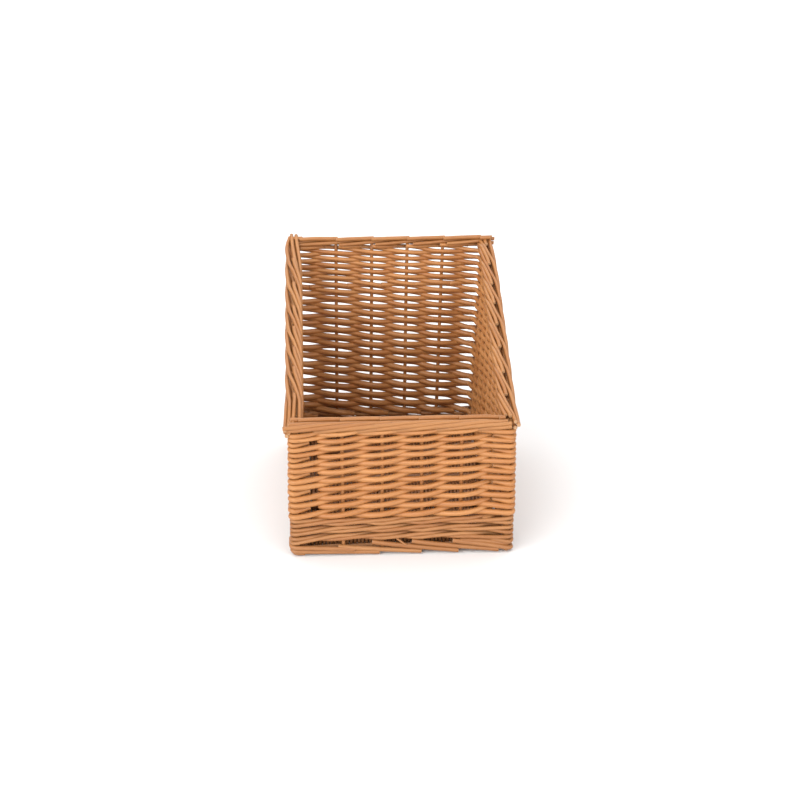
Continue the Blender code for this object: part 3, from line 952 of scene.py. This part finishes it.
# How the border's rods lie, point by point: the spacings run from the stake where a rod starts,
# its offset outward and its depth below the top of the border. A long rod comes up outside and
# crosses to the inner edge. A short one starts with a cut tip on top of it and lies beside it.
# On the sloped walls another one lies under both.
LEVEL_LONG = np.array((
    (-0.70, 0.0020, 0.0165), (-0.25, 0.0058, 0.0132), (0.15, 0.0074, 0.0110),
    (0.60, 0.0071, 0.0092), (1.10, 0.0059, 0.0075), (1.60, 0.0039, 0.0061),
    (2.10, 0.0015, 0.0059), (2.60, -0.0016, 0.0069), (3.00, -0.0046, 0.0083),
    (3.40, -0.0068, 0.0097), (3.90, -0.0076, 0.0112)))
LEVEL_SHORT = np.array((
    (-0.05, -0.0040, 0.0032), (0.10, -0.0050, 0.0031), (0.60, -0.0062, 0.0031),
    (1.00, -0.0070, 0.0038)))
SLOPED_LONG = np.array((
    (-1.60, 0.0082, 0.0170), (-1.12, 0.0091, 0.0120), (-0.75, 0.0097, 0.0088),
    (-0.40, 0.0090, 0.0066), (0.00, 0.0074, 0.0054), (0.25, 0.0049, 0.0048),
    (0.55, 0.0003, 0.0042), (0.85, -0.0029, 0.0040), (1.25, -0.0071, 0.0040),
    (1.55, -0.0088, 0.0048), (1.85, -0.0093, 0.0076), (2.10, -0.0092, 0.0110),
    (2.35, -0.0090, 0.0145)))
SLOPED_SHORT = np.array((
    (0.00, 0.0002, 0.0034), (0.25, -0.0011, 0.0029), (0.55, -0.0043, 0.0027),
    (0.85, -0.0074, 0.0028), (1.00, -0.0088, 0.0044), (1.25, -0.0093, 0.0086),
    (1.50, -0.0092, 0.0125)))
SLOPED_UNDER = np.array((
    (-0.95, 0.0050, 0.0165), (-0.55, 0.0060, 0.0150), (0.00, 0.0054, 0.0136),
    (0.60, 0.0016, 0.0120), (1.20, -0.0034, 0.0112), (1.75, -0.0066, 0.0130)))

# Long rods that lie otherwise near a corner, by the number of their wall and their place from its
# first stake. Negative places count from before that stake.
CORNER_LONGS = {
    (2, 0): np.vstack((LEVEL_LONG, ((4.40, -0.0078, 0.0116),))),
    (1, 0): np.vstack((((-1.21, 0.0106, 0.0100), (-0.92, 0.0104, 0.0082), (-0.60, 0.0097, 0.0066)),
                       SLOPED_LONG[3:])),
    (1, -1): np.vstack((((-0.30, 0.0062, 0.0058), (0.00, 0.0058, 0.0054), (0.25, 0.0042, 0.0048)),
                        SLOPED_LONG[6:])),
    (1, 7): np.array(((-1.60, 0.0082, 0.0170), (-1.12, 0.0088, 0.0120), (-0.75, 0.0086, 0.0088),
                      (-0.40, 0.0076, 0.0066), (0.00, 0.0064, 0.0054), (0.40, 0.0054, 0.0046),
                      (0.60, 0.0050, 0.0044))),
    (3, 0): np.vstack((((-1.03, 0.0046, 0.0070), (-0.88, 0.0078, 0.0070), (-0.70, 0.0092, 0.0064),
                        (-0.49, 0.0096, 0.0060)), SLOPED_LONG[4:])),
    (3, -1): np.array(((-0.21, 0.0031, 0.0034), (0.00, 0.0028, 0.0034), (0.21, 0.0022, 0.0036),
                       (0.52, 0.0009, 0.0036), (0.85, -0.0008, 0.0038), (1.15, -0.0026, 0.0040),
                       (1.50, -0.0052, 0.0042), (1.90, -0.0084, 0.0056), (2.20, -0.0090, 0.0110))),
    (3, -2): np.array(((0.84, -0.0034, 0.0040), (1.20, -0.0041, 0.0038), (1.52, -0.0058, 0.0038),
                       (1.85, -0.0074, 0.0044), (2.30, -0.0088, 0.0080), (2.60, -0.0090, 0.0125))),
}
# How far the tip of each short rod lies past its stake on the two sloped walls, in spacings
TIP_SHIFTS = {1: (-0.08, -0.15, -0.11, -0.12, -0.22, -0.33, -0.40),
              3: (0.04, 0.14, 0.20, 0.14, -0.01, -0.13, -0.10)}

# Where rods stop past the start and the end of each of the four walls, at the first offsets
# outward, and how much lower than its own top each wall's border ends
REACH_OFFSETS = (-0.0020, 0.0030, 0.0065)
START_REACHES = ((-0.0053, -0.0080, -0.0155), (0.0060, -0.0040, -0.0092),
                 (-0.0060, -0.0110, -0.0137), (-0.0070, -0.0086, -0.0040))
END_REACHES = ((-0.0040, 0.0030, 0.0045), (-0.0020, 0.0020, 0.0050),
               (0.0040, 0.0050, 0.0060), (0.0000, 0.0060, 0.0085))
END_SINKS = (0.0010, 0.0040, 0.0006, 0.0042)
SINK_PLACE, SINK_LENGTH = -0.032, 0.026
# How much further outward the rods lie near the front corners, at these offsets: at the start of
# the right wall and at the end of the left one
FLARE_OFFSETS = (-0.0080, -0.0030, 0.0, 0.0098)
NO_FLARE = (0.0, 0.0, 0.0, 0.0)
START_FLARES = (NO_FLARE, (0.0042, 0.0042, 0.0034, 0.0008), NO_FLARE, NO_FLARE)
END_FLARES = (NO_FLARE, NO_FLARE, NO_FLARE, (0.0014, 0.0046, 0.0056, 0.0026))
START_FLARE_LENGTH, END_FLARE_LENGTH = 0.040, 0.050
# For each wall: how much higher its rods start, along how much of its end they lie nearly
# straight, with a share of their crossing left, and how much lower than the plain border they
# lie, which fades out towards the end
START_LIFTS = (0.0, 0.0, 0.0, 0.0045)
END_STRAIGHTS = (0.0, 0.0, 0.0, 0.040)
STRAIGHT_SHARE = 0.8
TOP_EASES = (0.0, 0.0, 0.0022, 0.0)
EASE_LENGTH = 0.060
# How far below the plain border's top the middle of a rod stays, in its own radii, how unlike the
# rods are in thickness and in place along, and the shares of its radius at a rod's two ends
TOP_ROOM_SHARE = 1.12
BORDER_SPREAD_SHARE = 0.03
BORDER_SHIFT = 0.0008
BORDER_END_SHARES = (1.03, 0.95)


def smoothed(values):
    """Mean of each value and its four neighbours on both sides."""
    return np.convolve(np.pad(values, 4, mode="edge"), np.ones(9) / 9, mode="valid")


def border_rod(wall, start, spacing, lie, radius):
    """Path of one border rod: a table of how it lies, kept between the ends of its wall.

    Near the end of a wall the rods sink under those of the next. On the sloped walls the outer
    ones spread outward at the front corners, and on the left one the rods lie straight there.
    """
    length = WALL_LENGTHS[wall]
    run = start + spacing * np.linspace(lie[0, 0], lie[-1, 0] + 1.0, 160)
    straight = np.maximum(run - length + END_STRAIGHTS[wall], 0) * (END_STRAIGHTS[wall] > 0)
    shares = (run - STRAIGHT_SHARE * straight - start) / spacing
    outward = smoothed(np.interp(shares, lie[:, 0], lie[:, 1]))
    drop = smoothed(np.interp(shares, lie[:, 0], lie[:, 2]))
    first = np.interp(np.interp(0.0, run, outward), REACH_OFFSETS, START_REACHES[wall])
    last = np.interp(np.interp(length, run, outward), REACH_OFFSETS, END_REACHES[wall])
    kept = (shares <= lie[-1, 0]) & (run > first) & (run < length + last)
    if np.count_nonzero(kept) < 8:
        return None
    run, outward, drop = run[kept], outward[kept], drop[kept]
    near_start = np.clip(1 - run / START_FLARE_LENGTH, 0, 1)
    near_end = np.clip(1 - (length - run) / END_FLARE_LENGTH, 0, 1)
    outward = (outward + np.interp(outward, FLARE_OFFSETS, START_FLARES[wall]) * near_start ** 2
               + np.interp(outward, FLARE_OFFSETS, END_FLARES[wall]) * near_end ** 1.5)
    sink = END_SINKS[wall] * swing(np.clip((run - length - SINK_PLACE) / SINK_LENGTH, 0, 1))
    lift = START_LIFTS[wall] * near_start ** 3
    ease = TOP_EASES[wall] * np.clip((length - run) / EASE_LENGTH, 0, 1)
    top = np.clip(rim_top(wall, run), FRONT_TOP, BACK_TOP) - ease
    height = np.minimum(top - drop - sink + lift, BACK_TOP - TOP_ROOM_SHARE * radius)
    return along_wall(wall, run, outward, height)


def build_borders(sizes, colours):
    """The top borders. At each stake a long rod comes up over the outer edge and crosses to the
    inner one, and a short rod lies on it, with its cut tip in sight."""
    # The border's colour carries painted shade, darker than the wall rods
    material = willow("border_willow_painted_shade", colours.border, colours)
    for wall, name in enumerate(WALLS):
        random = np.random.default_rng(RANDOM_SEED + 60 + wall)
        bundle = Bundle(RANDOM_SEED + 60 + wall, sizes.sides)
        first = CORNERS[wall] + 1
        places = DISTANCES[first:first + len(wall_stakes(name))] - WALL_STARTS[wall]
        spacing = places[1] - places[0]
        for number in range(-4, len(places) + 1):
            start = places[0] + spacing * number
            if wall % 2 == 0:
                rods = ((CORNER_LONGS.get((wall, number), LEVEL_LONG), sizes.level_rod),
                        (LEVEL_SHORT, sizes.ridge_rod))
            else:
                tips = TIP_SHIFTS[wall]
                start += spacing * tips[min(max(number, 0), len(tips) - 1)]
                rods = ((CORNER_LONGS.get((wall, number), SLOPED_LONG), sizes.sloped_rod),
                        (SLOPED_UNDER, sizes.sloped_rod), (SLOPED_SHORT, sizes.sloped_rod))
            if wall == 3 and number < 0:
                rods = rods[:2] if (wall, number) in CORNER_LONGS else ()
            for lie, size in rods:
                radius = size / 2 * (1 + random.normal(0, BORDER_SPREAD_SHARE))
                shift = random.normal(0, BORDER_SHIFT)
                path = border_rod(wall, start + shift, spacing, lie, radius)
                if path is not None:
                    bundle.add(path, radius * np.linspace(*BORDER_END_SHARES, len(path)))
        bundle.build(f"{name}_border_rods", material, "willow_border",
                     [f"{name}_rim_{part}" for part in ("inner", "middle", "outer")])


# The lights: azimuth from the front to the right and elevation of the side that each comes from,
# how wide it is, all in degrees, and its strength
LIGHTS = (("left_light", -46.0, 24.0, 70.0, 3.6), ("right_light", 38.0, 20.0, 70.0, 2.4),
          ("top_light", 180.0, 65.0, 90.0, 2.9))
LIGHT_DISTANCE = 3.0
ROOM_LIGHT = 0.15
FLOOR_REACH = 12.0
# The camera, fitted to the photograph: its focal length in widths of the frame, its distance from
# the point that it looks at, the angles by which it stands above and to the left of it, and how
# high and how far to the right that point lies
FOCAL_SHARE = 1903 / 800
SENSOR_WIDTH = 36.0
CAMERA_DISTANCE = 2.539
CAMERA_ELEVATION = math.radians(21.85)
CAMERA_TURN = math.radians(2.69)
AIM_HEIGHT = 0.1363
AIM_ASIDE = 0.0060
CAMERA_RANGE = 60.0


def add_soft_light(name, azimuth, elevation, spread, strength):
    """A broad, even light from far away."""
    light = bpy.data.lights.new(name, "SUN")
    light.energy = strength
    light.angle = math.radians(spread)
    lamp = bpy.data.objects.new(name, light)
    turn, rise = math.radians(azimuth), math.radians(elevation)
    towards = Vector((math.sin(turn) * math.cos(rise), -math.cos(turn) * math.cos(rise),
                      math.sin(rise)))
    lamp.location = towards * LIGHT_DISTANCE
    lamp.rotation_euler = towards.to_track_quat("Z", "Y").to_euler()
    bpy.context.scene.collection.objects.link(lamp)


def build_stage(sizes, colours):
    """A pale floor, soft light from both sides in front and from behind above, and the camera."""
    scene = bpy.context.scene
    edge = np.linspace(-FLOOR_REACH, FLOOR_REACH, 25)
    across, deep = np.meshgrid(edge, edge, indexing="xy")
    points = np.column_stack((across.ravel(), deep.ravel(), np.zeros(across.size)))
    number = np.arange(across.size).reshape(across.shape)
    faces = np.stack((number[:-1, :-1], number[:-1, 1:], number[1:, 1:], number[1:, :-1]), axis=2)
    mesh = bpy.data.meshes.new("floor")
    mesh.from_pydata(points, [], faces.reshape(-1, 4).tolist())
    material = bpy.data.materials.new("floor_paint")
    material.use_nodes = True
    shader = material.node_tree.nodes["Principled BSDF"]
    shader.inputs["Base Color"].default_value = (*colours.floor, 1.0)
    shader.inputs["Roughness"].default_value = 0.9
    shader.inputs["Specular IOR Level"].default_value = 0.1
    mesh.materials.append(material)
    floor = bpy.data.objects.new("floor", mesh)
    scene.collection.objects.link(floor)

    world = bpy.data.worlds.new("studio")
    world.use_nodes = True
    background = world.node_tree.nodes["Background"]
    background.inputs["Color"].default_value = (1.0, 1.0, 1.0, 1.0)
    background.inputs["Strength"].default_value = ROOM_LIGHT
    scene.world = world
    scene.view_settings.view_transform = "Standard"
    for light in LIGHTS:
        add_soft_light(*light)

    camera = bpy.data.cameras.new("camera")
    camera.sensor_width = SENSOR_WIDTH
    camera.lens = FOCAL_SHARE * SENSOR_WIDTH
    camera.clip_end = CAMERA_RANGE
    stand = bpy.data.objects.new("camera", camera)
    back = CAMERA_DISTANCE * math.cos(CAMERA_ELEVATION)
    sine, cosine = math.sin(CAMERA_TURN), math.cos(CAMERA_TURN)
    stand.location = (AIM_ASIDE * cosine - back * sine, -AIM_ASIDE * sine - back * cosine,
                      AIM_HEIGHT + CAMERA_DISTANCE * math.sin(CAMERA_ELEVATION))
    stand.rotation_euler = (math.pi / 2 - CAMERA_ELEVATION, 0.0, -CAMERA_TURN)
    scene.collection.objects.link(stand)
    scene.camera = stand


class MakeUprights(bpy.types.Operator):
    """Makes the stakes and corner posts"""

    bl_idname = "basket.make_uprights"
    bl_label = "Posts and stakes"

    def execute(self, context):
        build_uprights(*settings(context))
        return {"FINISHED"}


class MakeBase(bpy.types.Operator):
    """Weaves the base over its sticks"""

    bl_idname = "basket.make_base"
    bl_label = "Base"

    def execute(self, context):
        weave_base(*settings(context))
        return {"FINISHED"}


class MakeFoot(bpy.types.Operator):
    """Lays the border that stands on the ground"""

    bl_idname = "basket.make_foot"
    bl_label = "Foot border"

    def execute(self, context):
        build_foot(*settings(context))
        return {"FINISHED"}


class MakeBand(bpy.types.Operator):
    """Weaves the close band above the base"""

    bl_idname = "basket.make_band"
    bl_label = "Band above the base"

    def execute(self, context):
        weave_wale(*settings(context))
        return {"FINISHED"}


class MakeWalls(bpy.types.Operator):
    """Weaves the four walls"""

    bl_idname = "basket.make_walls"
    bl_label = "Walls"

    def execute(self, context):
        weave_walls(*settings(context))
        return {"FINISHED"}


class MakeBorders(bpy.types.Operator):
    """Lays the borders along the top"""

    bl_idname = "basket.make_borders"
    bl_label = "Top borders"

    def execute(self, context):
        build_borders(*settings(context))
        return {"FINISHED"}


class MakeStage(bpy.types.Operator):
    """Sets up the floor, the light and the camera"""

    bl_idname = "basket.make_stage"
    bl_label = "Stage"

    def execute(self, context):
        build_stage(*settings(context))
        return {"FINISHED"}


PIECES = (MakeUprights, MakeBase, MakeFoot, MakeBand, MakeWalls, MakeBorders, MakeStage)


class BasketPanel(bpy.types.Panel):
    """Lists the basket's pieces, sizes and colours in the sidebar"""

    bl_idname = "VIEW3D_PT_basket"
    bl_label = "Display basket"
    bl_space_type = "VIEW_3D"
    bl_region_type = "UI"
    bl_category = "Basket"

    def draw(self, context):
        for piece in PIECES:
            self.layout.operator(piece.bl_idname)
        for group in settings(context):
            box = self.layout.box()
            for name in group.__annotations__:
                box.prop(group, name)


CLASSES = (BasketSizes, BasketColours, *PIECES, BasketPanel)


def register():
    """Registers the classes and keeps the sizes and colours with the scene."""
    for item in CLASSES:
        bpy.utils.register_class(item)
    bpy.types.Scene.basket_sizes = bpy.props.PointerProperty(type=BasketSizes)
    bpy.types.Scene.basket_colours = bpy.props.PointerProperty(type=BasketColours)


def unregister():
    """Undoes what register does."""
    del bpy.types.Scene.basket_colours
    del bpy.types.Scene.basket_sizes
    for item in reversed(CLASSES):
        bpy.utils.unregister_class(item)


def main():
    """Makes every piece and the stage."""
    register()
    for piece in PIECES:
        group, name = piece.bl_idname.split(".")
        getattr(getattr(bpy.ops, group), name)()


if __name__ == "__main__":
    main()
